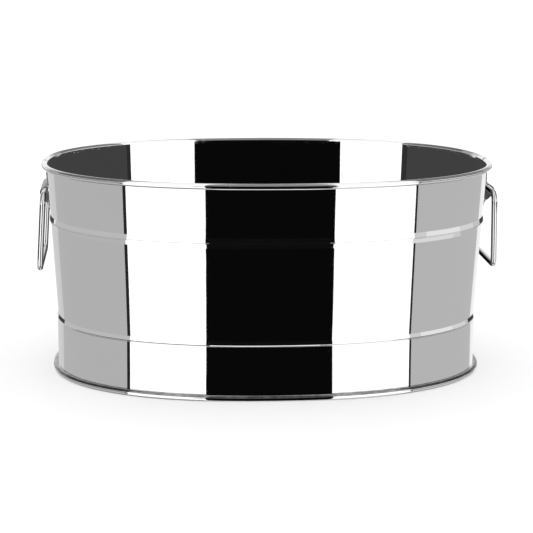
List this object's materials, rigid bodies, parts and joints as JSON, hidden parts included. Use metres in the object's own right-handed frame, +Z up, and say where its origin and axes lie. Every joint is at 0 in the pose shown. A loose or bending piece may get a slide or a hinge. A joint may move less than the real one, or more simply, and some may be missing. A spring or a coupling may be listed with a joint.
{
  "type": "oval beverage tub",
  "caption": "Oval mirror-polished steel drinks tub with rolled rim, pressed bead, foot band and swinging wire handles.",
  "frame": {"origin": "on the table under the middle of the tub", "axes": "+X along the tub's length, towards the right handle; +Y across it, towards the rear wall; +Z up"},
  "size_m": [0.5057, 0.355, 0.233],
  "materials": {
    "wall_steel": "mirror-polished stainless steel sheet",
    "band_steel": "mirror-polished stainless steel strip",
    "pan_steel": "polished stainless steel, softly scuffed by ice and bottles",
    "roll_wire": "drawn steel wire, hidden in the rolled edges",
    "bracket_steel": "polished pressed stainless steel strap",
    "handle_steel": "polished drawn stainless steel wire"
  },
  "bodies": {
    "tub": {"wall_front": "wall_steel", "wall_rear": "wall_steel", "rim_wire": "roll_wire", "floor_pan": "pan_steel", "foot_band": "band_steel", "foot_wire": "roll_wire", "left_bracket": "bracket_steel", "right_bracket": "bracket_steel"},
    "left_ring": {"left_handle": "handle_steel"},
    "right_ring": {"right_handle": "handle_steel"}
  },
  "joints": [
    {"name": "left_swing", "type": "hinge", "parent": "tub", "child": "left_ring", "pos_m": [-0.24652, 0, 0.202], "axis": [0, 1, 0], "range_deg": [-6.5, 170]},
    {"name": "right_swing", "type": "hinge", "parent": "tub", "child": "right_ring", "pos_m": [0.24652, 0, 0.202], "axis": [0, -1, 0], "range_deg": [-4, 173]}
  ]
}
